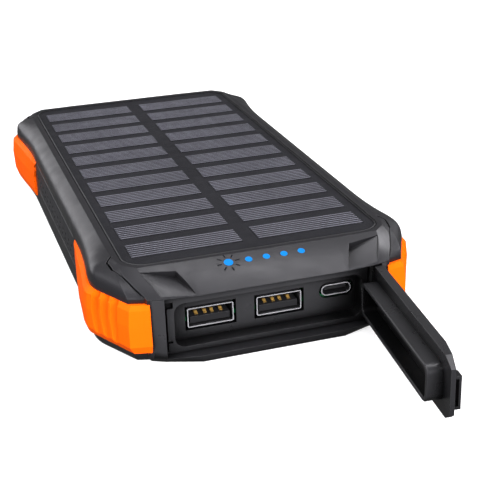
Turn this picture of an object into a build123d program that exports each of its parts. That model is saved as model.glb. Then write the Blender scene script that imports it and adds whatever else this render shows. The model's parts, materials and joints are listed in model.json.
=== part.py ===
from build123d import *
import math
import os

os.makedirs("parts", exist_ok=True)

# Solar phone charger (rugged power bank), millimetres.
# Origin: centre of the flat underside. +Z up, ports face -Y, +X to the right of the ports.

# ---------------------------------------------------------------- driving dimensions
HEIGHT = 25.0             # underside to solar glass
SPLIT_Z = 7.7             # parting plane of the two housing shells
LIP_Z = 19.7              # lower edge of the sloped front and back faces
BEND_Z = 4.6              # below this the underside tapers in
END_Y = 92.5              # half length of the housing
FLAT_END_X = 20.5         # half width of the flat middle of each end
SIDE_X = 44.0             # half width between the bumpers
WALL = 2.0

GRID_ROWS = 11
GRID_COLUMNS = 2
CELL_W = 31.75
CELL_D = 9.43
ROW_PITCH = 13.71
COLUMN_PITCH = 36.45
GLASS_HALF_X = 37.2
GLASS_HALF_Y = 79.65
GLASS_CORNER = 6.5
PANEL_FLOOR_Z = 22.7
BACKING_T = 1.8
CELL_T = 0.2
GASKET_W = 0.45

BAY_HALF_X = 33.4         # moulded frame around the ports
BAY_LOW_Z = 1.9
BAY_HIGH_Z = 19.55
SEAT_Y = -88.75           # face that the port cover closes against
POCKET_HALF_X = 27.0
POCKET_LOW_Z = 3.5
POCKET_HIGH_Z = 16.3
PORT_FACE_Y = -84.35
PORT_PLATE_T = 1.5
REBATE_LEFT_X = -30.0
REBATE_RIGHT_X = 31.8

USB_A_X = (-15.7, 4.05)
USB_A_Z = 9.35
USB_A_OUT_W = 13.1
USB_A_OUT_H = 5.72
USB_A_LENGTH = 14.0
USB_C_X = 21.05
USB_C_Z = 10.7
USB_C_OUT_W = 8.94
USB_C_OUT_H = 3.26
USB_C_LENGTH = 7.3
SHELL_T = 0.3
SURROUND = 0.7            # dark gap left around each socket

COVER_OPEN = 84.0         # degrees the cover stands open at rest
PIN_X = 30.0
PIN_Y = -89.2
PIN_R = 0.65
PIN_CLEAR = 0.05
BARREL_R = 1.3
COVER_OUTER_Y = -91.5
COVER_INNER_Y = -88.9
COVER_FREE_X = -28.2
COVER_HINGE_X = 28.1
COVER_LOW_Z = 2.9
COVER_HIGH_Z = 19.1
PLUG_X = (-23.7, 26.5)
PLUG_LOW_Z = 5.9
PLUG_HIGH_Z = 16.0
PLUG_TIP_Y = -84.65
PLUG_WALL = 1.1
EAR_Z = (4.1, 17.5)       # top of the lower hinge ear, underside of the upper one

BUMPER_LOW_Z = 4.3
BUMPER_HIGH_Z = 18.4
BUMPER_GAP = 0.05

GRIP_HALF_Y = 36.4
GRIP_LOW_Z = 8.1
GRIP_HIGH_Z = 18.3
GRIP_INNER_X = 42.6
GRIP_DOT_R = 0.62
GRIP_DOT_PITCH = 5.0

LED_Y = -84.3
LED_X = (-4.4, 0.65, 5.7, 10.75)
SUN_X = -10.1
LED_R = 0.98
SUN_R = 1.27
LED_TILT = 19.0
LENS_LENGTH = 2.9

BUTTON_Y = -22.0
BUTTON_Z = 13.2
BUTTON_LENGTH = 14.0
BUTTON_HEIGHT = 5.0
BUTTON_TRAVEL = 0.5
BUTTON_GAP = 0.15
SWITCH_BOARD_X = 34.6
BOARD_Z = 8.0             # underside of the main board

TORCH_HALF_X = 12.2
TORCH_LOW_Z = 7.9
TORCH_HIGH_Z = 18.6

SCREW_PLACES = ((-35.5, -52.0), (35.5, -52.0), (-35.5, 52.0), (35.5, 52.0), (-24.0, 77.5), (24.0, 77.5))


# ---------------------------------------------------------------- helpers
def save(name, *solids):
    """Write one node: a single solid, or several separate ones."""
    pieces = [s for shape in solids for s in shape.solids()]
    shape = pieces[0] if len(pieces) == 1 else Compound(pieces)
    export_step(shape, "parts/" + name + ".step")


def block(x, y, z):
    """Box from three (low, high) pairs."""
    size = (x[1] - x[0], y[1] - y[0], z[1] - z[0])
    middle = ((x[0] + x[1]) / 2, (y[0] + y[1]) / 2, (z[0] + z[1]) / 2)
    return Pos(*middle) * Box(*size)


def rounded(x, y, z, radius, axis=Axis.Z):
    """Box with the four edges along one axis rounded."""
    solid = block(x, y, z)
    return fillet(solid.edges().filter_by(axis), radius)


def prism(points, low, high):
    """Polygon in plan, extruded between two heights."""
    face = make_face(Polyline(*points, close=True))
    return extrude(Pos(0, 0, low) * face, high - low)


def bar_x(y, z, radius, low, high):
    """Cylinder along X."""
    return Pos((low + high) / 2, y, z) * Rot(0, 90, 0) * Cylinder(radius, high - low)


def bar_y(x, z, radius, low, high):
    """Cylinder along Y."""
    return Pos(x, (low + high) / 2, z) * Rot(90, 0, 0) * Cylinder(radius, high - low)


def bar_z(x, y, radius, low, high):
    """Cylinder along Z."""
    return Pos(x, y, (low + high) / 2) * Cylinder(radius, high - low)


def at_corner(shape, sx, sy):
    """Move a shape from the +X, +Y corner to another corner."""
    moved = shape
    if sx < 0:
        moved = mirror(moved, Plane.YZ)
    if sy < 0:
        moved = mirror(moved, Plane.XZ)
    return moved


# ---------------------------------------------------------------- outer form
# One quarter of each level of the housing, from the side round to the end: the side, the
# ear that swells out beside the bumper, its shoulder and angled face, the notch at the
# foot of the strap that runs over the corner, the strap's two edges, and the flat.
LEVELS = {
    "bezel": (25.0, [(39.5, 44.0), (39.5, 65.0), (39.4, 71.0), (38.7, 75.8),
                     (38.2, 76.9), (37.6, 77.9), (34.6, 80.9), (22.0, 81.3)]),
    "upper": (23.4, [(42.3, 44.0), (43.8, 65.5), (44.8, 71.2), (40.0, 79.4),
                     (38.7, 80.6), (38.3, 81.7), (33.4, 85.2), (21.6, 86.0)]),
    "lower": (21.4, [(43.8, 44.0), (45.4, 67.0), (46.1, 73.1), (39.5, 85.7),
                     (36.5, 86.1), (36.0, 87.2), (31.6, 89.1), (21.0, 90.0)]),
    "widest": (LIP_Z, [(44.0, 44.0), (45.7, 67.5), (46.3, 73.5), (39.0, 88.0),
                       (34.8, 89.3), (34.3, 90.4), (30.4, 91.4), (20.5, 92.5)]),
    "belly": (1.6, [(43.9, 44.0), (45.3, 67.0), (45.6, 72.4), (37.8, 87.0),
                    (34.5, 88.0), (34.0, 89.1), (30.4, 90.8), (20.5, 92.6)]),
    "foot": (0.0, [(42.0, 44.0), (43.6, 66.5), (43.9, 71.0), (36.5, 85.2),
                   (33.6, 86.0), (33.2, 87.1), (29.9, 88.9), (20.5, 92.4)]),
}


def quarter_edges(points, sx, sy):
    """Edges of one quarter of a level, from the side to the end's flat."""
    corners = [Vector(sx * x, sy * y, 0) for x, y in points]
    side, ear, shoulder, angle = corners[:4]
    turn = shoulder + (angle - shoulder) * 0.2
    edges = [
        Spline(side, ear, tangents=[(0, sy), (shoulder - ear).normalized()]),
        Bezier(ear, shoulder, turn),
        Line(turn, angle),
    ]
    return edges + [Line(p, q) for p, q in zip(corners[3:], corners[4:])]


def level_face(name, z=None):
    """Closed outline of one level, symmetric about X and Y."""
    height, points = LEVELS[name]
    side, flat = points[0], points[-1]
    edges = []
    for sx in (1, -1):
        edges.append(Line((sx * side[0], -side[1]), (sx * side[0], side[1])))
        for sy in (1, -1):
            edges += quarter_edges(points, sx, sy)
    for sy in (1, -1):
        edges.append(Line((-flat[0], sy * flat[1]), (flat[0], sy * flat[1])))
    face = make_face(edges)
    return Pos(0, 0, height if z is None else z) * face


def outer_form():
    """The whole housing as one solid, before it is divided."""
    crown = loft([level_face(n) for n in ("widest", "lower", "upper", "bezel")])
    belt = extrude(level_face("widest", BEND_Z), LIP_Z - BEND_Z)
    base = loft([level_face("foot"), level_face("belly"), level_face("widest", BEND_Z)])
    return crown + belt + base


def cavity():
    """Room inside the two shells for the battery and the boards."""
    quarter = [(40.0, 46.0), (40.8, 62.0), (38.6, 74.0), (33.5, 81.5)]
    points = (
        [(x, y) for x, y in quarter]
        + [(-x, y) for x, y in reversed(quarter)]
        + [(-x, -y) for x, y in quarter]
        + [(x, -y) for x, y in reversed(quarter)]
    )
    room = prism(points, WALL, PANEL_FLOOR_Z - 1.5)
    return room + block((-33.0, 33.0), (PORT_FACE_Y + 1, -80), (POCKET_LOW_Z - 0.5, POCKET_HIGH_Z + 0.7))


# ---------------------------------------------------------------- bumpers
# Outline of the bumper's exposed face at five heights: where it meets the grip, the swelling
# side, the widest place, the corner, the nose and the front edge.
BUMPER_END_Y = 37.3
BUMPER_LEVELS = [
    (BUMPER_LOW_Z, [(44.1, BUMPER_END_Y), (45.6, 52.0), (46.9, 65.0),
                    (46.7, 72.8), (38.4, 89.3), (33.8, 90.5)]),
    (6.6, [(44.4, BUMPER_END_Y), (46.2, 52.0), (47.5, 65.5),
           (47.5, 73.8), (39.6, 90.2), (33.8, 91.4)]),
    (12.6, [(44.4, BUMPER_END_Y), (46.3, 52.0), (47.7, 65.5),
            (47.7, 74.3), (39.6, 90.1), (33.8, 91.3)]),
    (17.0, [(44.3, BUMPER_END_Y), (45.6, 52.0), (47.0, 66.0),
            (47.2, 74.3), (39.2, 89.8), (33.8, 91.1)]),
    (BUMPER_HIGH_Z, [(43.6, BUMPER_END_Y), (44.2, 52.0), (45.8, 65.5),
                     (46.1, 73.2), (38.5, 89.2), (33.8, 90.8)]),
]
BUMPER_SEAT = [(33.8, 87.2), (36.8, 85.6), (41.6, 75.6), (43.2, 63.0), (42.2, 50.0), (42.0, BUMPER_END_Y)]
FLUTES = (0.22, 0.44, 0.66)


def bumper_section(height, outer):
    """Plan of the bumper at one height: swelling side, straight angled face, front patch, seat."""
    end, swell, widest, corner, nose, front = [Vector(x, y, 0) for x, y in outer]
    side = Spline(end, swell, widest, corner, tangents=[(0.05, 1), (-0.3, 1)])
    seat = [Vector(x, y, 0) for x, y in BUMPER_SEAT]
    points = [corner, nose, front] + seat + [end]
    edges = [side] + [Line(p, q) for p, q in zip(points, points[1:])]
    return Pos(0, 0, height) * make_face(edges)


def bumper_end_cut(gap):
    """What is taken off the side end, leaving a pointed tip that reaches over the grip."""
    y = BUMPER_END_Y - gap
    outline = [(y - 5, 0), (41.8 - gap, 0), (41.8 - gap, 11.5), (40.2 - gap, 14.2), (40.6 - gap, 15.6),
               (y + 0.2, BUMPER_HIGH_Z), (y + 0.2, 30), (y - 5, 30)]
    face = Plane.YZ * make_face(Polyline(*outline, close=True))
    return Pos(38, 0, 0) * extrude(face, 20)


def bumper():
    """Corner bumper at +X, +Y with upright flutes in its angled face."""
    body = loft([bumper_section(z, outer) for z, outer in BUMPER_LEVELS], ruled=True)
    low, high = BUMPER_LEVELS[1][1], BUMPER_LEVELS[-1][1]
    outward = Vector(0.91, 0.41, 0)
    for share in FLUTES:
        foot = lerp(low[3], low[4], share) + outward * 1.12
        head = lerp(high[3], high[4], share) + outward * 1.12
        foot += Vector(0, 0, BUMPER_LEVELS[1][0])
        head += Vector(0, 0, BUMPER_HIGH_Z)
        along = head - foot
        cutter = Pos(0, 0, along.length * 1.5) * Cylinder(1.6, along.length * 3)
        body -= Plane(origin=foot - along, z_dir=along) * cutter
    return body - bumper_end_cut(0)


def lerp(a, b, share):
    """Point between two plan points."""
    return Vector(a[0] + (b[0] - a[0]) * share, a[1] + (b[1] - a[1]) * share, 0)


def bumper_seat():
    """Volume that the housings give up at the +X, +Y corner."""
    gap = BUMPER_GAP
    inner = [(x - gap, y - gap) for x, y in BUMPER_SEAT]
    points = [(BUMPER_SEAT[0][0] - gap, 96.0)] + inner + [(52.0, BUMPER_END_Y - gap), (52.0, 96.0)]
    return prism(points, BUMPER_LOW_Z - gap, BUMPER_HIGH_Z + gap) - bumper_end_cut(gap)


# ---------------------------------------------------------------- build the shared solids
form = outer_form()
inside = cavity()
seats = [at_corner(bumper_seat(), sx, sy) for sx in (1, -1) for sy in (1, -1)]
bay_zone = block((-BAY_HALF_X, BAY_HALF_X), (-100, PORT_FACE_Y + PORT_PLATE_T), (BAY_LOW_Z, BAY_HIGH_Z))
panel_zone = rounded(
    (-GLASS_HALF_X - GASKET_W, GLASS_HALF_X + GASKET_W),
    (-GLASS_HALF_Y - GASKET_W, GLASS_HALF_Y + GASKET_W),
    (PANEL_FLOOR_Z, HEIGHT + 1),
    GLASS_CORNER + GASKET_W,
)


def grip_zone(side, grow=0.0):
    """Recess for a side grip; grow makes the recess a little larger than the grip."""
    near = GRIP_INNER_X - grow
    x = (near, 60) if side > 0 else (-60, -near)
    return block(x, (-GRIP_HALF_Y - grow, GRIP_HALF_Y + grow), (GRIP_LOW_Z - grow, GRIP_HIGH_Z + grow))


def button_window(grow):
    """Opening along X that the power button's cap passes through."""
    y = (BUTTON_Y - BUTTON_LENGTH / 2 - grow, BUTTON_Y + BUTTON_LENGTH / 2 + grow)
    z = (BUTTON_Z - BUTTON_HEIGHT / 2 - grow, BUTTON_Z + BUTTON_HEIGHT / 2 + grow)
    return rounded((38.0, 50.0), y, z, 1.6, Axis.X)


def slope_z(y):
    """Height of the sloped end face at a distance from the middle."""
    radius, centre_y, centre_z = 35.6, 72.09, -9.39
    return centre_z + math.sqrt(radius ** 2 - (abs(y) - centre_y) ** 2)


LED_Z = slope_z(LED_Y)


def on_slope(x, depth, shape):
    """Place a shape built about Z so that its top face is flush with the front slope."""
    return Pos(x, LED_Y, LED_Z) * Rot(LED_TILT, 0, 0) * Pos(0, 0, -depth) * shape


def lens(x, radius, grow=0.0):
    """Light pipe of one indicator."""
    return on_slope(x, LENS_LENGTH / 2 - 0.02, Cylinder(radius + grow, LENS_LENGTH + 2 * grow))


def sun_rays(depth):
    """Eight short marks around the sun indicator, let into the surface to a depth."""
    near = block((SUN_X - 6, SUN_X + 6), (-95, -75), (15, HEIGHT + 1))
    below = Pos(0, 0, -depth) * (form & near)
    skin = (form & near) - below
    rays = []
    for turn in range(8):
        mark = Rot(0, 0, 45 * turn + 10) * Pos(2.65, 0, 0) * Box(1.4, 0.4, 4)
        rays.append(on_slope(SUN_X, 0, mark) & skin)
    return rays


def facet(side):
    """Cutter for the twisted panel beside the indicators, deepest at its inner top corner."""
    edges = [
        [(34.2, -82.7, 24.2), (30.3, -91.7, 19.74)],
        [(24.8, -84.3, 21.95), (21.1, -92.7, 19.74)],
    ]
    walls = []
    for (x0, y0, z0), (x1, y1, z1) in edges:
        corners = [(x0, y0, z0), (x1, y1, z1), (x1, y1, 30), (x0, y0, 30)]
        walls.append(make_face(Polyline(*corners, close=True)))
    wedge = loft(walls, ruled=True)
    return wedge if side > 0 else mirror(wedge, Plane.YZ)


STRAP_TICK = [(39.3, 70.9), (41.0, 73.2), (40.4, 77.2)]
STRAP_FOOT = [(40.4, 77.2), (39.1, 80.0), (36.6, 86.1), (34.7, 89.6)]


def strap_groove():
    """Groove along the outer edge of the +X, +Y strap: a wider tick, then a fine line at its foot."""
    corner = form & block((30, 50), (66, 95), (10, HEIGHT + 1))
    skin = corner - Pos(0, 0, -0.8) * corner
    cuts = []
    for points, half_width in ((STRAP_TICK, 0.27), (STRAP_FOOT, 0.08)):
        for start, end in zip(points, points[1:]):
            a, b = Vector(*start, 0), Vector(*end, 0)
            along = (b - a).normalized()
            across = Vector(along.Y, -along.X, 0) * half_width
            reach = along * half_width * 0.5
            outline = [a - reach + across, b + reach + across, b + reach - across, a - reach - across]
            cuts.append(prism([(c.X, c.Y) for c in outline], LIP_Z + 0.5, HEIGHT + 1))
    groove = cuts[0]
    for cut in cuts[1:]:
        groove += cut
    return groove & skin


# ---------------------------------------------------------------- housing shells
def top_housing():
    """Upper shell: bezel, shoulders, sloped ends and the side walls down to the parting plane."""
    shell = form & block((-60, 60), (-100, 100), (SPLIT_Z, HEIGHT + 1))
    shell -= inside
    shell -= bay_zone
    shell -= panel_zone
    for seat in seats:
        shell -= seat
    groove = strap_groove()
    for side in (1, -1):
        shell -= grip_zone(side, 0.03)
        shell -= facet(side)
        for end in (1, -1):
            shell -= at_corner(groove, side, end)
    shell -= block((-14.0, 14.0), (-87.3, -81.0), (BAY_HIGH_Z - 0.1, 21.75))
    shell -= lens(SUN_X, SUN_R, 0.03)
    for x in LED_X:
        shell -= lens(x, LED_R, 0.03)
    for ray in sun_rays(0.35):
        shell -= ray
    shell -= button_window(BUTTON_GAP)
    shell -= torch_zone()
    shell -= hood_zone()
    for x, y in SCREW_PLACES:
        boss = bar_z(x, y, 2.6, SPLIT_Z, PANEL_FLOOR_Z - 1.4)
        shell += boss & (form - panel_zone)
    for x, y in SCREW_PLACES:
        shell -= bar_z(x, y, 0.85, SPLIT_Z - 1, 17.0)
    return shell


def bottom_housing():
    """Lower tray with the flat underside, the screw bosses and the lip under the ports."""
    tray = form & block((-60, 60), (-100, 100), (-1, SPLIT_Z))
    tray -= inside
    tray -= bay_zone
    for seat in seats:
        tray -= seat
    tray -= torch_zone()
    for x, y in SCREW_PLACES:
        tray += bar_z(x, y, 3.6, 0.6, SPLIT_Z) & form
    for x in (-30.0, 30.0):
        for y in (-78.0, -61.0):
            tray += bar_z(x, y, 2.0, WALL - 0.5, BOARD_Z)
    tray += block((33.2, SWITCH_BOARD_X), (BUTTON_Y - 8, BUTTON_Y + 8), (WALL - 0.5, BUTTON_Z + 1.5))
    for x, y in SCREW_PLACES:
        tray -= bar_z(x, y, 1.1, -1, SPLIT_Z + 1)
        tray -= bar_z(x, y, 2.5, -1, 3.2)
    return tray


def torch_zone():
    """Recess in the back end for the torch window and its board."""
    return block((-TORCH_HALF_X, TORCH_HALF_X), (80.0, 100), (TORCH_LOW_Z, TORCH_HIGH_Z))


def hood_zone():
    """Shallow recess over the back slope for the torch's dark hood."""
    band = block((-TORCH_HALF_X, TORCH_HALF_X), (80.6, 100), (TORCH_HIGH_Z - 0.1, HEIGHT + 1))
    return band - (Pos(0, 0, -1.1) * (form & block((-20, 20), (70, 100), (5, 30))))


def torch_hood():
    """Dark strip that wraps from the top edge down to the torch window."""
    lower_form = Pos(0, 0, -1.05) * (form & block((-20, 20), (70, 100), (5, 30)))
    band = block((-TORCH_HALF_X + 0.05, TORCH_HALF_X - 0.05), (80.65, 100), (TORCH_HIGH_Z, HEIGHT + 1))
    return (form & band) - lower_form


# ---------------------------------------------------------------- ports
def bay_frame():
    """Moulded surround of the ports: upright strips, seat, pocket and the two hinge ears."""
    frame = form & block(
        (-BAY_HALF_X + 0.05, BAY_HALF_X - 0.05),
        (-100, PORT_FACE_Y + PORT_PLATE_T),
        (BAY_LOW_Z + 0.05, BAY_HIGH_Z - 0.05),
    )
    frame -= block((REBATE_LEFT_X, REBATE_RIGHT_X), (-100, SEAT_Y), (0, 30))
    pocket = rounded(
        (-POCKET_HALF_X, POCKET_HALF_X), (-100, PORT_FACE_Y), (POCKET_LOW_Z, POCKET_HIGH_Z), 2.8, Axis.Y
    )
    frame -= pocket
    frame -= port_plate_blank(0.03)
    frame -= bar_z(PIN_X, PIN_Y, BARREL_R + 0.2, EAR_Z[0], EAR_Z[1])
    frame -= block((-30.0, -28.9), (-90, -87.0), (2.7, 17.2))
    frame -= block((-28.95, -27.2), (-90, -87.4), (15.3, 17.1))
    frame -= block((-28.95, -27.6), (-90, -87.6), (5.1, 5.7))
    ears = [
        (BAY_LOW_Z + 0.05, EAR_Z[0] - 0.05),
        (EAR_Z[1] + 0.05, BAY_HIGH_Z - 0.05),
    ]
    for low, high in ears:
        ear = bar_z(PIN_X, PIN_Y, BARREL_R, low, high)
        ear += block((PIN_X - BARREL_R, PIN_X + BARREL_R), (PIN_Y, SEAT_Y + 0.3), (low, high))
        frame += ear
    frame -= bar_z(PIN_X, PIN_Y, PIN_R, 2.5, 19.1)
    return frame


def port_plate_blank(grow=0.0):
    """Plate behind the pocket, without its openings."""
    return block(
        (-POCKET_HALF_X - 1.2 - grow, POCKET_HALF_X + 1.2 + grow),
        (PORT_FACE_Y, PORT_FACE_Y + PORT_PLATE_T + grow),
        (POCKET_LOW_Z - 0.9 - grow, POCKET_HIGH_Z + 1.2 + grow),
    )


def slot_along_y(x, z, width, height, y):
    """Solid with round ends, as a USB-C outline, running along Y."""
    return rounded(
        (x - width / 2, x + width / 2), y, (z - height / 2, z + height / 2), height / 2 - 0.01, Axis.Y
    )


def port_plate():
    """Face plate with one opening for each socket."""
    plate = port_plate_blank()
    y = (PORT_FACE_Y - 1, PORT_FACE_Y + PORT_PLATE_T + 1)
    for x in USB_A_X:
        half_w = USB_A_OUT_W / 2 + SURROUND
        half_h = USB_A_OUT_H / 2 + SURROUND
        plate -= block((x - half_w, x + half_w), y, (USB_A_Z - half_h, USB_A_Z + half_h))
    plate -= slot_along_y(USB_C_X, USB_C_Z, USB_C_OUT_W + 2 * SURROUND, USB_C_OUT_H + 2 * SURROUND, y)
    return plate


def usb_a_shell(x):
    """Folded steel shell, open at the mouth."""
    y = (PORT_FACE_Y + 0.1, PORT_FACE_Y + USB_A_LENGTH)
    outer = rounded(
        (x - USB_A_OUT_W / 2, x + USB_A_OUT_W / 2), y,
        (USB_A_Z - USB_A_OUT_H / 2, USB_A_Z + USB_A_OUT_H / 2), 0.5, Axis.Y,
    )
    inner = rounded(
        (x - USB_A_OUT_W / 2 + SHELL_T, x + USB_A_OUT_W / 2 - SHELL_T), (y[0] - 1, y[1] - SHELL_T),
        (USB_A_Z - USB_A_OUT_H / 2 + SHELL_T, USB_A_Z + USB_A_OUT_H / 2 - SHELL_T), 0.25, Axis.Y,
    )
    return outer - inner


def usb_a_tongue(x):
    """Plastic tongue in the lower half of the socket, with its block at the back."""
    back = PORT_FACE_Y + USB_A_LENGTH - SHELL_T
    tongue = block((x - 5.6, x + 5.6), (PORT_FACE_Y + 0.9, back), (USB_A_Z - 1.95, USB_A_Z - 0.1))
    root = block((x - 6.2, x + 6.2), (back - 3.0, back), (USB_A_Z - 2.5, USB_A_Z + 2.5))
    return tongue + root


def usb_a_contacts(x):
    """Four spring contacts lying on the tongue."""
    strips = []
    for place in (-3.5, -1.0, 1.0, 3.5):
        flat = block((x + place - 0.45, x + place + 0.45), (PORT_FACE_Y + 2.0, PORT_FACE_Y + 10.0),
                     (USB_A_Z - 0.1, USB_A_Z + 0.1))
        bump = bar_x(PORT_FACE_Y + 3.4, USB_A_Z - 0.35, 0.9, x + place - 0.45, x + place + 0.45)
        bump &= block((x - 8, x + 8), (-100, 0), (USB_A_Z - 0.1, USB_A_Z + 2))
        strips.append(flat + bump)
    return strips


def usb_c_shell():
    """Drawn steel shell of the USB-C socket."""
    y = (PORT_FACE_Y + 0.1, PORT_FACE_Y + USB_C_LENGTH)
    outer = slot_along_y(USB_C_X, USB_C_Z, USB_C_OUT_W, USB_C_OUT_H, y)
    inner = slot_along_y(USB_C_X, USB_C_Z, USB_C_OUT_W - 2 * SHELL_T, USB_C_OUT_H - 2 * SHELL_T,
                         (y[0] - 1, y[1] - 0.4))
    return outer - inner


def usb_c_tongue():
    """Centre tongue of the USB-C socket."""
    back = PORT_FACE_Y + USB_C_LENGTH - 0.4
    blade = block(
        (USB_C_X - 3.35, USB_C_X + 3.35),
        (PORT_FACE_Y + 1.2, back),
        (USB_C_Z - 0.35, USB_C_Z + 0.35),
    )
    root = slot_along_y(USB_C_X, USB_C_Z, USB_C_OUT_W - 2 * SHELL_T - 0.1, USB_C_OUT_H - 2 * SHELL_T - 0.1,
                        (back - 1.5, back))
    return blade + root


# ---------------------------------------------------------------- port cover
def opened(shape):
    """Turn a cover piece drawn closed to where it stands at rest."""
    return Pos(PIN_X, PIN_Y, 0) * Rot(0, 0, COVER_OPEN) * Pos(-PIN_X, -PIN_Y, 0) * shape


def cover_plate():
    """Cover plate with the hinge barrel, drawn closed."""
    outline = [
        (COVER_HINGE_X, COVER_INNER_Y), (COVER_FREE_X, COVER_INNER_Y), (COVER_FREE_X, -90.1),
        (-18.0, COVER_OUTER_Y), (COVER_HINGE_X - 0.9, COVER_OUTER_Y), (COVER_HINGE_X, COVER_OUTER_Y + 0.8),
    ]
    plate = prism(outline, COVER_LOW_Z, COVER_HIGH_Z)
    for edge, sign, along, up in ((COVER_LOW_Z, 1, 2.6, 2.0), (COVER_HIGH_Z, -1, 4.0, 1.9)):
        wedge = [
            (COVER_FREE_X - 1, edge - sign),
            (COVER_FREE_X + along, edge - sign),
            (COVER_FREE_X + along, edge),
            (COVER_FREE_X, edge + sign * up),
            (COVER_FREE_X - 1, edge + sign * up),
        ]
        face = Plane.XZ * make_face(Polyline(*wedge, close=True))
        plate -= Pos(0, -80, 0) * extrude(face, 20)
    knuckle = (EAR_Z[0] + 0.1, EAR_Z[1] - 0.1)
    neck = block((COVER_HINGE_X - 0.5, PIN_X), (PIN_Y - BARREL_R, COVER_INNER_Y), knuckle)
    barrel = bar_z(PIN_X, PIN_Y, BARREL_R, *knuckle)
    plate += neck + barrel
    plate -= bar_z(PIN_X, PIN_Y, PIN_R + PIN_CLEAR, 0, HEIGHT)
    plate -= plug_ring(COVER_INNER_Y - 0.6, COVER_INNER_Y + 1)
    return plate


def plug_ring(low_y, high_y):
    """Rectangular ring with rounded corners between two depths."""
    z = (PLUG_LOW_Z, PLUG_HIGH_Z)
    outer = rounded(PLUG_X, (low_y, high_y), z, 2.4, Axis.Y)
    thinner = [(low + PLUG_WALL, high - PLUG_WALL) for low, high in (PLUG_X, z)]
    inner = rounded(thinner[0], (low_y - 1, high_y + 1), thinner[1], 1.5, Axis.Y)
    return outer - inner


def cover_plug():
    """Rubber plug on the inside of the cover: a hollow rim that fills the pocket's mouth."""
    rim = plug_ring(COVER_INNER_Y - 0.6, PLUG_TIP_Y)
    tip = [e for e in rim.edges() if abs(e.center().Y - PLUG_TIP_Y) < 0.01 and e.length > 8]
    return chamfer(tip, 0.25)


def cover_pull():
    """Finger loop that stands off the outer face at the free end."""
    low, high = 5.4, 14.4
    loop = block((-26.6, -23.8), (-92.3, -90.4), (low, high))
    loop -= block((-28, -22), (-91.65, -90.1), (low + 0.8, high - 0.8))
    return loop - cover_plate()


# ---------------------------------------------------------------- write the nodes
def panel_nodes():
    """Solar panel: backing board, cells, clear sheet and the seal around them."""
    backing_top = PANEL_FLOOR_Z + BACKING_T
    backing = rounded((-GLASS_HALF_X, GLASS_HALF_X), (-GLASS_HALF_Y, GLASS_HALF_Y),
                      (PANEL_FLOOR_Z, backing_top), GLASS_CORNER)
    cells = []
    for row in range(GRID_ROWS):
        y = (row - (GRID_ROWS - 1) / 2) * ROW_PITCH
        for column in range(GRID_COLUMNS):
            x = (column - (GRID_COLUMNS - 1) / 2) * COLUMN_PITCH
            cells.append(Pos(x, y, backing_top + CELL_T / 2) * Box(CELL_W, CELL_D, CELL_T))
    glass = rounded((-GLASS_HALF_X, GLASS_HALF_X), (-GLASS_HALF_Y, GLASS_HALF_Y),
                    (backing_top, HEIGHT), GLASS_CORNER)
    glass = chamfer(glass.edges().group_by(Axis.Z)[-1], 0.25)
    for cell in cells:
        glass -= cell
    seal = panel_zone & block((-50, 50), (-90, 90), (PANEL_FLOOR_Z, HEIGHT - 0.35))
    seal -= rounded((-GLASS_HALF_X, GLASS_HALF_X), (-GLASS_HALF_Y, GLASS_HALF_Y),
                    (PANEL_FLOOR_Z - 1, HEIGHT + 1), GLASS_CORNER)
    save("solar_backing", backing)
    save("solar_cells", *cells)
    save("solar_glass", glass)
    save("solar_gasket", seal)


def indicator_nodes():
    """Charge indicators: light pipes, their LEDs on a small board, and the sun's rays."""
    save("sun_indicator_lens", lens(SUN_X, SUN_R))
    save("level_indicator_lenses", *[lens(x, LED_R) for x in LED_X])
    save("sun_rays", *sun_rays(0.33))
    save("indicator_board", block((-13.6, 13.6), (-87.0, -82.2), (BAY_HIGH_Z, BAY_HIGH_Z + 0.8)))
    chip_z = (BAY_HIGH_Z + 0.8, BAY_HIGH_Z + 1.3)
    chips = [block((x - 0.8, x + 0.8), (LED_Y + 0.3, LED_Y + 1.5), chip_z) for x in (SUN_X,) + LED_X]
    save("indicator_leds", *chips)


def grip(side):
    """Textured side panel with two staggered rows of dimples."""
    panel = form & grip_zone(side)
    lengthwise = [e for e in panel.edges().filter_by(Axis.Y) if abs(e.center().X) > SIDE_X - 0.1]
    panel = chamfer(lengthwise, 0.4)
    count = int(2 * GRIP_HALF_Y / GRIP_DOT_PITCH)
    for row, z in enumerate((10.6, 13.1)):
        for step in range(count):
            y = (step - (count - 1) / 2) * GRIP_DOT_PITCH + (row - 0.5) * GRIP_DOT_PITCH / 2
            panel -= bar_x(y, z, GRIP_DOT_R, *sorted((side * (SIDE_X - 0.5), side * (SIDE_X + 1))))
    if side > 0:
        panel -= button_window(BUTTON_GAP)
    return panel


def button_nodes():
    """Power button in the right-hand grip, with the switch and board behind it."""
    y = (BUTTON_Y - BUTTON_LENGTH / 2, BUTTON_Y + BUTTON_LENGTH / 2)
    z = (BUTTON_Z - BUTTON_HEIGHT / 2, BUTTON_Z + BUTTON_HEIGHT / 2)
    cap = rounded((39.6, SIDE_X + 0.9), y, z, 1.5, Axis.X)
    cap = fillet(cap.edges().group_by(Axis.X)[-1], 0.5)
    flange = block((38.7, 39.6), (y[0] - 1.2, y[1] + 1.2), (z[0] - 1.0, z[1] + 1.0))
    save("power_button", cap + flange)
    board_x = (SWITCH_BOARD_X, SWITCH_BOARD_X + 1.0)
    save("switch_board", block(board_x, (y[0] - 2, y[1] + 2), (z[0] - 2.5, z[1] + 2.0)))
    switch = block((35.6, 37.2), (BUTTON_Y - 3, BUTTON_Y + 3), (BUTTON_Z - 2, BUTTON_Z + 2))
    plunger = bar_x(BUTTON_Y, BUTTON_Z, 1.4, 37.2, 38.7 - BUTTON_TRAVEL - 0.05)
    save("button_switch", switch + plunger)


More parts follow.
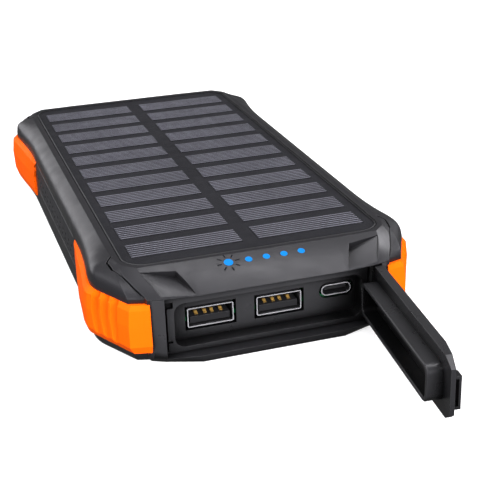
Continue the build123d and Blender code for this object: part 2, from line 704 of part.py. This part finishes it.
def torch_nodes():
    """Torch at the back end: window, reflector tray, LEDs and board."""
    x = (-TORCH_HALF_X + 0.05, TORCH_HALF_X - 0.05)
    z = (TORCH_LOW_Z + 0.05, TORCH_HIGH_Z - 0.05)
    save("torch_window", form & block(x, (90.6, 100), z))
    tray = block(x, (86.0, 90.6), z)
    save("torch_board", block((x[0] + 0.25, x[1] - 0.25), (84.8, 86.0), (z[0] + 0.25, z[1] - 0.25)))
    places = [(x, z) for x in (-8.1, -2.7, 2.7, 8.1) for z in (10.6, 15.9)]
    for x, z in places:
        cup = Pos(x, 88.9, z) * Rot(-90, 0, 0) * Cone(1.3, 2.3, 3.4)
        tray -= cup
        tray -= bar_y(x, z, 1.3, 85, 88)
    save("torch_reflector", tray)
    save("torch_leds", *[block((x - 0.8, x + 0.8), (86.0, 86.9), (z - 0.8, z + 0.8)) for x, z in places])
    save("torch_hood", torch_hood())


def battery_nodes():
    """Two pouch cells, foam between them, tape, and the leads to the board."""
    for name, low in (("battery_cell_lower", 2.6), ("battery_cell_upper", 11.9)):
        cell = block((-31.5, 31.5), (-52.0, 73.0), (low, low + 8.2))
        cell = fillet(cell.edges().filter_by(Axis.Y), 2.2)
        save(name, cell)
    save("battery_foam", block((-29.5, 29.5), (-50.0, 71.0), (10.8, 11.9)))
    save("battery_pads", *[block((x - 4, x + 4), (-45, 65), (2.0, 2.6)) for x in (-24, 0, 24)])
    leads = []
    for x in (-20.0, -16.0, 16.0, 20.0):
        leads.append(bar_y(x, 9.95, 0.8, -62.0, -52.0))
    save("battery_leads", *leads)


def board_nodes():
    """Main circuit board with its larger components."""
    board = block((-32.5, 32.5), (PORT_FACE_Y + PORT_PLATE_T + 0.1, -58.0), (BOARD_Z, BOARD_Z + 1.0))
    for x in USB_A_X:
        half = USB_A_OUT_W / 2 + 0.1
        board -= block((x - half, x + half), (-90, PORT_FACE_Y + USB_A_LENGTH + 0.1), (0, 20))
    save("main_board", board)
    chips = [
        block((-29.0, -24.0), (-78.0, -73.0), (9.0, 10.0)),
        block((-2.0, 3.0), (-66.5, -61.5), (9.0, 10.1)),
        block((13.0, 17.0), (-76.0, -70.0), (9.0, 10.0)),
        block((24.0, 27.0), (-72.0, -70.0), (9.0, 9.8)),
    ]
    save("board_chips", *chips)
    coil = rounded((7.0, 13.0), (-67.5, -61.5), (9.0, 13.0), 1.2)
    save("board_inductor", coil)
    cans = [bar_z(x, -65.0, 1.9, 9.0, 14.5) for x in (-24.0, 25.0)]
    save("board_capacitors", *cans)


def screw_nodes():
    """Screws up through the tray into the upper shell, and the rubber plugs that hide them."""
    screws = []
    plugs = []
    for x, y in SCREW_PLACES:
        head = bar_z(x, y, 2.0, 1.6, 3.2)
        head -= Pos(x, y, 1.6) * (Box(2.2, 0.5, 1.2) + Box(0.5, 2.2, 1.2))
        shank = bar_z(x, y, 0.85, 3.2, 14.0)
        screws.append(head + shank)
        plugs.append(bar_z(x, y, 2.5, 0.0, 1.4))
    save("housing_screws", *screws)
    save("screw_plugs", *plugs)


CORNERS = {
    "bumper_front_left": (-1, -1),
    "bumper_front_right": (1, -1),
    "bumper_back_left": (-1, 1),
    "bumper_back_right": (1, 1),
}


def main():
    save("top_housing", top_housing())
    save("bottom_housing", bottom_housing())
    save("port_bay_frame", bay_frame())
    save("port_plate", port_plate())
    for side, x in zip(("left", "right"), USB_A_X):
        save("usb_a_shell_" + side, usb_a_shell(x))
        save("usb_a_tongue_" + side, usb_a_tongue(x))
        save("usb_a_contacts_" + side, *usb_a_contacts(x))
    save("usb_c_shell", usb_c_shell())
    save("usb_c_tongue", usb_c_tongue())
    corner = bumper()
    for name, (sx, sy) in CORNERS.items():
        save(name, at_corner(corner, sx, sy))
    save("side_grip_left", grip(-1))
    save("side_grip_right", grip(1))
    save("port_cover", opened(cover_plate()))
    save("port_cover_plug", opened(cover_plug()))
    save("port_cover_pull", opened(cover_pull()))
    save("hinge_pin", bar_z(PIN_X, PIN_Y, PIN_R, 2.5, 19.1))
    panel_nodes()
    indicator_nodes()
    button_nodes()
    torch_nodes()
    battery_nodes()
    board_nodes()
    screw_nodes()


main()
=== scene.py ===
import json
import math

import bmesh
import bpy
from mathutils import Matrix, Vector


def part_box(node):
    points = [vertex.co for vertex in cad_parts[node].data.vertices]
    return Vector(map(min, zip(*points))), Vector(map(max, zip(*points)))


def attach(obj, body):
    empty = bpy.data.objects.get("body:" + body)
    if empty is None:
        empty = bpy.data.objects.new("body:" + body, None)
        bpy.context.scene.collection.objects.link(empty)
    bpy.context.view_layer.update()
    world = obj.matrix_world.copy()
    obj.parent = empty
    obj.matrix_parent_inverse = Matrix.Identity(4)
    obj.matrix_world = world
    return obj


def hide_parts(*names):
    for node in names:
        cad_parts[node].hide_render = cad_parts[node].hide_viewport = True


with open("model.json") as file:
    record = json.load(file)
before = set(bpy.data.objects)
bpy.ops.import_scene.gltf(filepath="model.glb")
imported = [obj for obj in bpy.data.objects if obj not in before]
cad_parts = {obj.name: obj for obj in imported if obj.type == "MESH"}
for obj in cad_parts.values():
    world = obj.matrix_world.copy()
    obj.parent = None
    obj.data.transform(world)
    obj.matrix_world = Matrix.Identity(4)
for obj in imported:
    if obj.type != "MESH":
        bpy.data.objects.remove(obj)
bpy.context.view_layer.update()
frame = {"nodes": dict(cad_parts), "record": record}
nodes = frame["nodes"]
MM = 0.001

FOCAL_MM = 84.58
SENSOR_MM = 36.0
CAMERA_PLACE = (-0.08913, -0.34906, 0.14676)
CAMERA_ANGLES = (-17.299, 22.841, -1.891)     # azimuth, elevation and roll in degrees

LIGHT_COLOUR = (0.97, 0.96, 1.0)
LIGHT_TARGET = (0.0, -0.05, 0.01)             # the lights point here, inside the charger
WORLD_STRENGTH = 0.13
FILLS = (                                     # name, place, size and power in watts
    ("top_fill", (0.0, -0.05, 1.8), (2.4, 2.4), 31.0),
    ("front_fill", (0.2, -1.3, 0.5), (1.0, 0.6), 46.0),
    ("left_fill", (-1.2, -0.4, 0.4), (0.8, 0.6), 12.0),
)
SOFTBOXES = (
    ("top_box", (0.36, 0.1, 1.2), (1.2, 0.14), 4.6),
    ("left_box", (-0.85, 0.0, 1.15), (1.0, 0.8), 6.0),
    ("front_left_box", (-0.5, -0.8, 0.85), (0.5, 0.4), 2.6),
    ("back_left_box", (-0.72, 1.2, 0.4), (1.0, 0.75), 4.1),
    ("right_box", (0.95, 0.3, 0.72), (0.4, 0.6), 4.6),
)
FLOOR_HALF = 4.0
FLOOR_Z = -0.2 * MM                           # just below the underside
FLOOR_GLOW = 0.7

WEAR_AND_HIGHLIGHT_MM = 0.3                                 # width of the lightened edge on moulded parts, partly wear and partly painted highlight
PLATED_EDGE_MM = 0.1                          # radius of the softened edge on metal

FINGERS = 7                                   # silver lines on each cell
FINGER_HALF = 0.105 * MM                      # half of a line's width
FINGER_END_GAP = 0.1 * MM
FINGER_HEIGHT = 0.03 * MM
SHEET_CORNER = 6.5 * MM                       # radius of the clear sheet's corners in plan
SHEET_EDGE = 0.2 * MM                         # radius of its rounded top edge
SHEET_GAP = 0.06 * MM                         # between the cells and the clear sheet
RIM_WIDTH = 0.35 * MM
RIM_DROP = 0.12 * MM
CORNER_STEPS = 10                             # straight runs in each of the sheet's corners
EDGE_STEPS = 4                                # and in its rounded top edge


# ---------------------------------------------------------------- camera, light and floor
def aim(azimuth, elevation, roll):
    """Rotation of a camera that looks at the object from an azimuth and elevation, in degrees."""
    a, e, r = (math.radians(v) for v in (azimuth, elevation, roll))
    back = Vector((math.sin(a) * math.cos(e), -math.cos(a) * math.cos(e), math.sin(e)))
    right = Vector((math.cos(a), math.sin(a), 0.0))
    up = back.cross(right)
    turned_right = math.cos(r) * right + math.sin(r) * up
    turned_up = -math.sin(r) * right + math.cos(r) * up
    return Matrix((turned_right, turned_up, back)).transposed()


def add_camera():
    data = bpy.data.cameras.new("camera")
    data.lens = FOCAL_MM
    data.sensor_width = SENSOR_MM
    data.clip_start = 0.01
    camera = bpy.data.objects.new("camera", data)
    camera.matrix_world = Matrix.Translation(CAMERA_PLACE) @ aim(*CAMERA_ANGLES).to_4x4()
    bpy.context.scene.collection.objects.link(camera)
    bpy.context.scene.camera = camera


def add_area_light(name, place, size, power, glossy):
    """Soft rectangular light aimed at the object; without glossy it only fills, and makes no highlight."""
    data = bpy.data.lights.new(name, "AREA")
    data.shape = "RECTANGLE"
    data.size, data.size_y = size
    data.energy = power
    data.color = LIGHT_COLOUR
    light = bpy.data.objects.new(name, data)
    direction = Vector(LIGHT_TARGET) - Vector(place)
    turn = direction.to_track_quat("-Z", "Y").to_matrix().to_4x4()
    light.matrix_world = Matrix.Translation(place) @ turn
    light.visible_camera = False
    light.visible_glossy = glossy
    bpy.context.scene.collection.objects.link(light)


def add_studio():
    """Colour management, the white world and the lights."""
    scene = bpy.context.scene
    scene.view_settings.view_transform = "Standard"
    scene.view_settings.look = "None"
    world = bpy.data.worlds.new("studio")
    world.use_nodes = True
    background = world.node_tree.nodes["Background"]
    background.inputs["Color"].default_value = (1.0, 1.0, 1.0, 1.0)
    background.inputs["Strength"].default_value = WORLD_STRENGTH
    scene.world = world
    for light in FILLS:
        add_area_light(*light, glossy=False)
    for light in SOFTBOXES:
        add_area_light(*light, glossy=True)


def add_floor():
    """Floor that the camera sees, but that neither lights the object nor shows in its gloss."""
    mesh = bpy.data.meshes.new("floor")
    corners = [(x * FLOOR_HALF, y * FLOOR_HALF, FLOOR_Z) for x, y in ((-1, -1), (1, -1), (1, 1), (-1, 1))]
    mesh.from_pydata(corners, [], [(0, 1, 2, 3)])
    floor = bpy.data.objects.new("floor", mesh)
    bpy.context.scene.collection.objects.link(floor)
    paint = moulded("floor_paint", (0.5, 0.5, 0.5), 0.8, grain=3.0, bump=0.03, edge=0,
                    specular=0.1, variation=0.01)
    shader = paint.node_tree.nodes["Principled BSDF"]
    shader.inputs["Emission Color"].default_value = (1.0, 1.0, 1.0, 1.0)
    shader.inputs["Emission Strength"].default_value = FLOOR_GLOW
    floor.data.materials.append(paint)
    floor.visible_diffuse = False
    floor.visible_glossy = False


# ---------------------------------------------------------------- materials
class Tree:
    """Small helper to write a material's nodes briefly."""

    def __init__(self, name):
        self.material = bpy.data.materials.new(name)
        self.material.use_nodes = True
        self.tree = self.material.node_tree
        self.tree.nodes.clear()
        self.output = self.add("ShaderNodeOutputMaterial")
        self.shader = self.add("ShaderNodeBsdfPrincipled")
        self.link(self.shader.outputs[0], self.output.inputs["Surface"])
        self.coords = self.add("ShaderNodeTexCoord").outputs["Object"]

    def add(self, kind, **settings):
        node = self.tree.nodes.new(kind)
        for key, value in settings.items():
            setattr(node, key, value)
        return node

    def link(self, source, target):
        self.tree.links.new(source, target)

    def noise(self, size_mm, detail=2.0, stretch=None):
        """Noise whose features are about this size."""
        node = self.add("ShaderNodeTexNoise")
        node.inputs["Scale"].default_value = 1.0 / (size_mm * MM)
        node.inputs["Detail"].default_value = detail
        coords = self.coords
        if stretch:
            mapping = self.add("ShaderNodeMapping")
            mapping.inputs["Scale"].default_value = stretch
            self.link(coords, mapping.inputs["Vector"])
            coords = mapping.outputs[0]
        self.link(coords, node.inputs["Vector"])
        return node.outputs["Fac"]

    def spread(self, value, low, high, start=0.3, end=0.7):
        """Maps a 0 to 1 value to a range."""
        node = self.add("ShaderNodeMapRange")
        node.inputs["From Min"].default_value = start
        node.inputs["From Max"].default_value = end
        node.inputs["To Min"].default_value = low
        node.inputs["To Max"].default_value = high
        self.link(value, node.inputs["Value"])
        return node.outputs[0]

    def math(self, operation, a, b):
        node = self.add("ShaderNodeMath", operation=operation)
        for socket, value in zip(node.inputs, (a, b)):
            if isinstance(value, (int, float)):
                socket.default_value = value
            else:
                self.link(value, socket)
        return node.outputs[0]

    def mix(self, factor, a, b):
        """Mixes two colours."""
        node = self.add("ShaderNodeMix", data_type="RGBA")
        self.link(factor, node.inputs["Factor"])
        for socket, value in ((node.inputs[6], a), (node.inputs[7], b)):
            if isinstance(value, tuple):
                socket.default_value = (*value, 1.0)
            else:
                self.link(value, socket)
        return node.outputs[2]

    def edges(self, radius_mm):
        """1 along sharp edges, 0 elsewhere, and the rounded normal."""
        bevel = self.add("ShaderNodeBevel", samples=6)
        bevel.inputs["Radius"].default_value = radius_mm * MM
        geometry = self.add("ShaderNodeNewGeometry")
        dot = self.add("ShaderNodeVectorMath", operation="DOT_PRODUCT")
        self.link(bevel.outputs[0], dot.inputs[0])
        self.link(geometry.outputs["Normal"], dot.inputs[1])
        return self.spread(dot.outputs["Value"], 1.0, 0.0, 0.75, 0.98), bevel.outputs[0]

    def painted_shade_mask(self, reach_mm, closed, opened):
        """1 on open faces, falling to 0 far inside hollows: the mask for shade painted into the colour of
        hollows.
        """
        node = self.add("ShaderNodeAmbientOcclusion", samples=8)
        node.inputs["Distance"].default_value = reach_mm * MM
        return self.spread(node.outputs["AO"], 0.0, 1.0, closed, opened)

    def bump(self, height, strength, distance_mm, normal=None):
        node = self.add("ShaderNodeBump")
        node.inputs["Strength"].default_value = strength
        node.inputs["Distance"].default_value = distance_mm * MM
        self.link(height, node.inputs["Height"])
        if normal is not None:
            self.link(normal, node.inputs["Normal"])
        return node.outputs[0]


def tint(colour, factor):
    """The colour made darker or lighter."""
    return tuple(min(1.0, c * factor) for c in colour)


def moulded(name, colour, roughness, grain=0.35, bump=0.25, edge=0.35, specular=0.5, coat=0.0,
            variation=0.12, painted_hollow_shade=None):
    """Moulded plastic or rubber: fine grain, uneven gloss, edges lightened by wear and a painted highlight
    and, when asked, painted shade in hollows.
    """
    t = Tree(name)
    broad = t.noise(18.0, 3.0)
    fine = t.noise(grain, 2.0)
    base = t.mix(t.spread(broad, 0.0, 1.0), tint(colour, 1 - variation), tint(colour, 1 + variation))
    normal = None
    if edge:
        mask, normal = t.edges(WEAR_AND_HIGHLIGHT_MM)
        wear_and_highlight = t.math("MULTIPLY", mask, t.spread(t.noise(1.2, 4.0), 0.25, 1.0))
        # edges lightened: partly wear, partly a painted highlight along sharp edges
        lighter = tuple(c * 0.9 + 0.09 for c in colour)
        base = t.mix(t.math("MULTIPLY", wear_and_highlight, edge), base, lighter)
    # painted shade: hollows darkened towards a tenth of the colour
    if painted_hollow_shade:
        base = t.mix(t.painted_shade_mask(*painted_hollow_shade), tint(colour, 0.1), base)
    t.link(base, t.shader.inputs["Base Color"])
    rough = t.spread(t.noise(6.0, 3.0), roughness - 0.05, roughness + 0.06)
    t.link(rough, t.shader.inputs["Roughness"])
    t.link(t.bump(fine, bump, 0.03, normal), t.shader.inputs["Normal"])
    t.shader.inputs["Specular IOR Level"].default_value = specular
    t.shader.inputs["Coat Weight"].default_value = coat
    t.shader.inputs["Coat Roughness"].default_value = 0.2
    return t.material


def metal(name, colour, roughness, stretch=(1, 30, 1), metallic=1.0, painted_hollow_shade=None):
    """Plated or brushed metal with fine drawn lines and, when asked, painted shade in its hollows."""
    t = Tree(name)
    lines = t.noise(2.0, 4.0, stretch)
    base = t.mix(t.spread(lines, 0.0, 1.0), tint(colour, 0.85), tint(colour, 1.08))
    # painted shade: hollows darkened towards a twentieth of the colour
    if painted_hollow_shade:
        base = t.mix(t.painted_shade_mask(*painted_hollow_shade), tint(colour, 0.05), base)
    t.link(base, t.shader.inputs["Base Color"])
    t.link(t.spread(lines, roughness - 0.06, roughness + 0.08), t.shader.inputs["Roughness"])
    _, normal = t.edges(PLATED_EDGE_MM)
    t.link(t.bump(lines, 0.1, 0.01, normal), t.shader.inputs["Normal"])
    t.shader.inputs["Metallic"].default_value = metallic
    return t.material


def silicon():
    """Solar cell: near-black with a faint blue cast and a fine crystalline mottling."""
    t = Tree("silicon")
    crystal = t.add("ShaderNodeTexVoronoi")
    crystal.inputs["Scale"].default_value = 1 / (1.6 * MM)
    t.link(t.coords, crystal.inputs["Vector"])
    grey = t.add("ShaderNodeSeparateColor")
    t.link(crystal.outputs["Color"], grey.inputs[0])
    base = t.mix(grey.outputs[0], (0.008, 0.008, 0.010), (0.014, 0.014, 0.017))
    t.link(base, t.shader.inputs["Base Color"])
    t.link(t.spread(t.noise(4.0), 0.35, 0.5), t.shader.inputs["Roughness"])
    t.link(t.bump(t.noise(0.5), 0.1, 0.02), t.shader.inputs["Normal"])
    t.shader.inputs["Specular IOR Level"].default_value = 0.25
    return t.material


def clear_sheet():
    """Satin plastic sheet over the cells: mostly clear, with a soft sheen."""
    t = Tree("clear_sheet")
    t.link(t.spread(t.noise(8.0), 0.24, 0.34), t.shader.inputs["Roughness"])
    t.link(t.mix(t.noise(25.0), (0.02, 0.02, 0.022), (0.03, 0.03, 0.033)), t.shader.inputs["Base Color"])
    t.link(t.bump(t.noise(0.6), 0.12, 0.02), t.shader.inputs["Normal"])
    t.shader.inputs["Specular IOR Level"].default_value = 0.3
    t.shader.inputs["Alpha"].default_value = 0.07
    return t.material


def glowing(name, colour, strength, core):
    """Lit light pipe, a little whiter by up to core in patches."""
    t = Tree(name)
    base = t.mix(t.noise(0.8), tint(colour, 0.06), tint(colour, 0.12))
    t.link(base, t.shader.inputs["Base Color"])
    t.shader.inputs["Specular IOR Level"].default_value = 0.08
    whiter = tuple(c + (1 - c) * core for c in colour)
    t.link(t.mix(t.noise(1.5), colour, whiter), t.shader.inputs["Emission Color"])
    t.shader.inputs["Emission Strength"].default_value = strength
    t.link(t.spread(t.noise(1.0), 0.25, 0.4), t.shader.inputs["Roughness"])
    return t.material


def window(name, colour, alpha):
    """Clear plastic window."""
    t = Tree(name)
    t.link(t.mix(t.noise(5.0), tint(colour, 0.9), colour), t.shader.inputs["Base Color"])
    t.link(t.spread(t.noise(3.0), 0.06, 0.14), t.shader.inputs["Roughness"])
    t.link(t.bump(t.noise(2.0), 0.05, 0.01), t.shader.inputs["Normal"])
    t.shader.inputs["Alpha"].default_value = alpha
    return t.material


def make_materials():
    """One finish for each material slot of the record."""
    black = (0.004, 0.004, 0.005)
    # The three-number tuples set the reach in mm and the occlusion range of the shade painted into
    # hollows.
    return {
        "housing": moulded("housing_plastic", (0.0125, 0.0123, 0.0138), 0.34,
                           painted_hollow_shade=(4.0, 0.42, 0.96)),
        "tray": moulded("tray_plastic", (0.012, 0.012, 0.013), 0.38, edge=0.3, painted_hollow_shade=(4.0, 0.3, 0.9)),
        "bay": moulded("bay_plastic", (0.028, 0.028, 0.0295), 0.32, edge=0.12, specular=0.38,
                       painted_hollow_shade=(14.0, 0.5, 0.8)),
        "bumper": moulded("bumper_rubber", (0.93, 0.107, 0.002), 0.55, grain=0.5, bump=0.15, edge=0,
                          variation=0.03, specular=0.05),
        "grip": moulded("grip_rubber", (0.018, 0.018, 0.020), 0.45, edge=0.15, painted_hollow_shade=(1.5, 0.15, 0.75)),
        "cover": moulded("cover_rubber", (0.015, 0.015, 0.016), 0.30, painted_hollow_shade=(14.0, 0.45, 0.85)),
        "button": moulded("button_rubber", (0.016, 0.016, 0.018), 0.45, edge=0.15),
        "steel": metal("plated_steel", (0.42, 0.42, 0.435), 0.3, metallic=0.45, painted_hollow_shade=(4.0, 0.5, 0.85)),
        "contact": metal("gold_plate", (0.62, 0.38, 0.10), 0.3, metallic=0.7, painted_hollow_shade=(2.0, 0.1, 0.7)),
        "insulator": moulded("socket_plastic", (0.014, 0.014, 0.015), 0.35),
        "backing": moulded("panel_board", (0.012, 0.012, 0.014), 0.5, edge=0, specular=0.2),
        "cell": silicon(),
        "sheet": clear_sheet(),
        "seal": moulded("seal_rubber", black, 0.55),
        "lit": glowing("lit_pipe", (0.0, 0.3, 0.92), 0.9, core=0.01),
        "mark": moulded("black_print", black, 0.6, edge=0, specular=0.1),
        "board": moulded("solder_mask", (0.01, 0.12, 0.04), 0.3, grain=0.6),
        "chip": moulded("chip_epoxy", (0.02, 0.02, 0.021), 0.5),
        "pouch": metal("pouch_foil", (0.70, 0.71, 0.73), 0.35, (1, 1, 1)),
        "foam": moulded("foam", (0.06, 0.06, 0.065), 0.8, grain=0.8, bump=0.6),
        "lead": moulded("wire_insulation", (0.5, 0.02, 0.01), 0.4),
        "lens": window("clear_window", (0.8, 0.83, 0.85), 0.35),
        "reflector": metal("plated_reflector", (0.85, 0.85, 0.87), 0.15, (1, 1, 1)),
        "lamp": moulded("led_phosphor", (0.9, 0.8, 0.25), 0.4, grain=0.3),
        "hood": moulded("hood_plastic", black, 0.2, bump=0.05, coat=0.3),
    }


def dress(materials):
    """Gives every CAD node the finish of its material slot."""
    for entry in frame["record"]["subparts"]:
        node = nodes[entry["node"]]
        node.data.materials.clear()
        node.data.materials.append(materials[entry["material_slot"]])


# ---------------------------------------------------------------- pieces
def add_piece(name, mesh, material, body):
    """Adds a mesh that rides on a body, with the given material."""
    obj = bpy.data.objects.new(name, mesh)
    bpy.context.scene.collection.objects.link(obj)
    mesh.materials.append(material)
    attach(obj, body)
    return obj


def to_mesh(bm, name):
    """Turns a bmesh into a mesh and frees it."""
    mesh = bpy.data.meshes.new(name)
    bm.to_mesh(mesh)
    bm.free()
    return mesh


def add_bar(bm, low, high):
    """Adds a box between two corners to a bmesh."""
    verts = [
        bm.verts.new((x, y, z))
        for z in (low[2], high[2])
        for x, y in ((low[0], low[1]), (high[0], low[1]), (high[0], high[1]), (low[0], high[1]))
    ]
    for face in ((3, 2, 1, 0), (4, 5, 6, 7), (0, 1, 5, 4), (1, 2, 6, 5), (2, 3, 7, 6), (3, 0, 4, 7)):
        bm.faces.new([verts[i] for i in face])


def islands(obj):
    """Lowest and highest corner of each separate solid in a node."""
    bm = bmesh.new()
    bm.from_mesh(obj.data)
    bmesh.ops.remove_doubles(bm, verts=bm.verts, dist=1e-7)
    bm.verts.ensure_lookup_table()
    seen, boxes = set(), []
    for vert in bm.verts:
        if vert.index in seen:
            continue
        stack, points = [vert], []
        seen.add(vert.index)
        while stack:
            v = stack.pop()
            points.append(v.co.copy())
            for edge in v.link_edges:
                other = edge.other_vert(v)
                if other.index not in seen:
                    seen.add(other.index)
                    stack.append(other)
        low = Vector(min(p[i] for p in points) for i in range(3))
        high = Vector(max(p[i] for p in points) for i in range(3))
        boxes.append((low, high))
    bm.free()
    return sorted(boxes, key=lambda b: (round(b[0].y, 5), round(b[0].x, 5)))


def cell_fingers():
    """Fine silver conductor lines printed across each solar cell."""
    bm = bmesh.new()
    for low, high in islands(nodes["solar_cells"]):
        for i in range(FINGERS):
            y = low.y + (high.y - low.y) * (i + 0.5) / FINGERS
            start = (low.x + FINGER_END_GAP, y - FINGER_HALF, high.z)
            end = (high.x - FINGER_END_GAP, y + FINGER_HALF, high.z + FINGER_HEIGHT)
            add_bar(bm, start, end)
    return to_mesh(bm, "cell_fingers")


def add_rings(bm, low, high, rings):
    """Adds a loop round a box with rounded plan corners for each (inset, z), joined by faces."""
    outline = []
    for sx, sy, start in ((1, 1, 0), (-1, 1, 90), (-1, -1, 180), (1, -1, 270)):
        cx = (high[0] if sx > 0 else low[0]) - sx * SHEET_CORNER
        cy = (high[1] if sy > 0 else low[1]) - sy * SHEET_CORNER
        for i in range(CORNER_STEPS + 1):
            angle = math.radians(start + 90 * i / CORNER_STEPS)
            outline.append((cx, cy, math.cos(angle), math.sin(angle)))
    rows = []
    for inset, z in rings:
        reach = SHEET_CORNER - inset
        rows.append([bm.verts.new((cx + reach * dx, cy + reach * dy, z)) for cx, cy, dx, dy in outline])
    for first, second in zip(rows, rows[1:]):
        join_rows(bm, first, second)
    return rows


def join_rows(bm, first, second):
    """Adds the band of faces between two loops."""
    for i in range(len(first)):
        j = (i + 1) % len(first)
        bm.faces.new((first[i], first[j], second[j], second[i]))


def rounded_slab(low, high):
    """Clear sheet: a slab with rounded plan corners and a small rounded top edge."""
    rings = [(0.0, low[2])]
    for i in range(EDGE_STEPS + 1):
        angle = math.radians(90 * i / EDGE_STEPS)
        rings.append((SHEET_EDGE * (1 - math.cos(angle)), high[2] - SHEET_EDGE * (1 - math.sin(angle))))
    bm = bmesh.new()
    rows = add_rings(bm, low, high, rings)
    bm.faces.new(rows[-1])
    bm.faces.new(list(reversed(rows[0])))
    return to_mesh(bm, "clear_sheet")


def sheet_rim(low, high):
    """Narrow bevelled strip around the edge of the clear sheet, where it catches the light."""
    foot = high.z - RIM_DROP
    bm = bmesh.new()
    rings = [(0.0, foot), (0.3 * RIM_WIDTH, high.z), (RIM_WIDTH, high.z), (RIM_WIDTH, foot)]
    rows = add_rings(bm, low, high, rings)
    join_rows(bm, rows[-1], rows[0])
    bmesh.ops.recalc_face_normals(bm, faces=bm.faces)
    return to_mesh(bm, "sheet_rim")


def solar_panel(materials):
    """Adds the printed fingers, the rounded clear sheet in place of the plain one, and its rim."""
    silver = moulded("printed_silver", (0.24, 0.24, 0.28), 0.5, grain=0.2, bump=0.05, edge=0, specular=0.3)
    add_piece("cell_fingers", cell_fingers(), silver, "charger")
    low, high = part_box("solar_glass")
    cells_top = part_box("solar_cells")[1].z
    sheet_low = (low.x, low.y, cells_top + SHEET_GAP)
    sheet = add_piece("clear_sheet", rounded_slab(sheet_low, high), materials["sheet"], "charger")
    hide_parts("solar_glass")
    rim_finish = moulded("sheet_edge", (0.02, 0.02, 0.021), 0.45, edge=0, bump=0.05)
    add_piece("sheet_rim", sheet_rim(low, high), rim_finish, "charger")


# ---------------------------------------------------------------- build
materials = make_materials()
add_camera()
add_studio()
add_floor()
dress(materials)
solar_panel(materials)
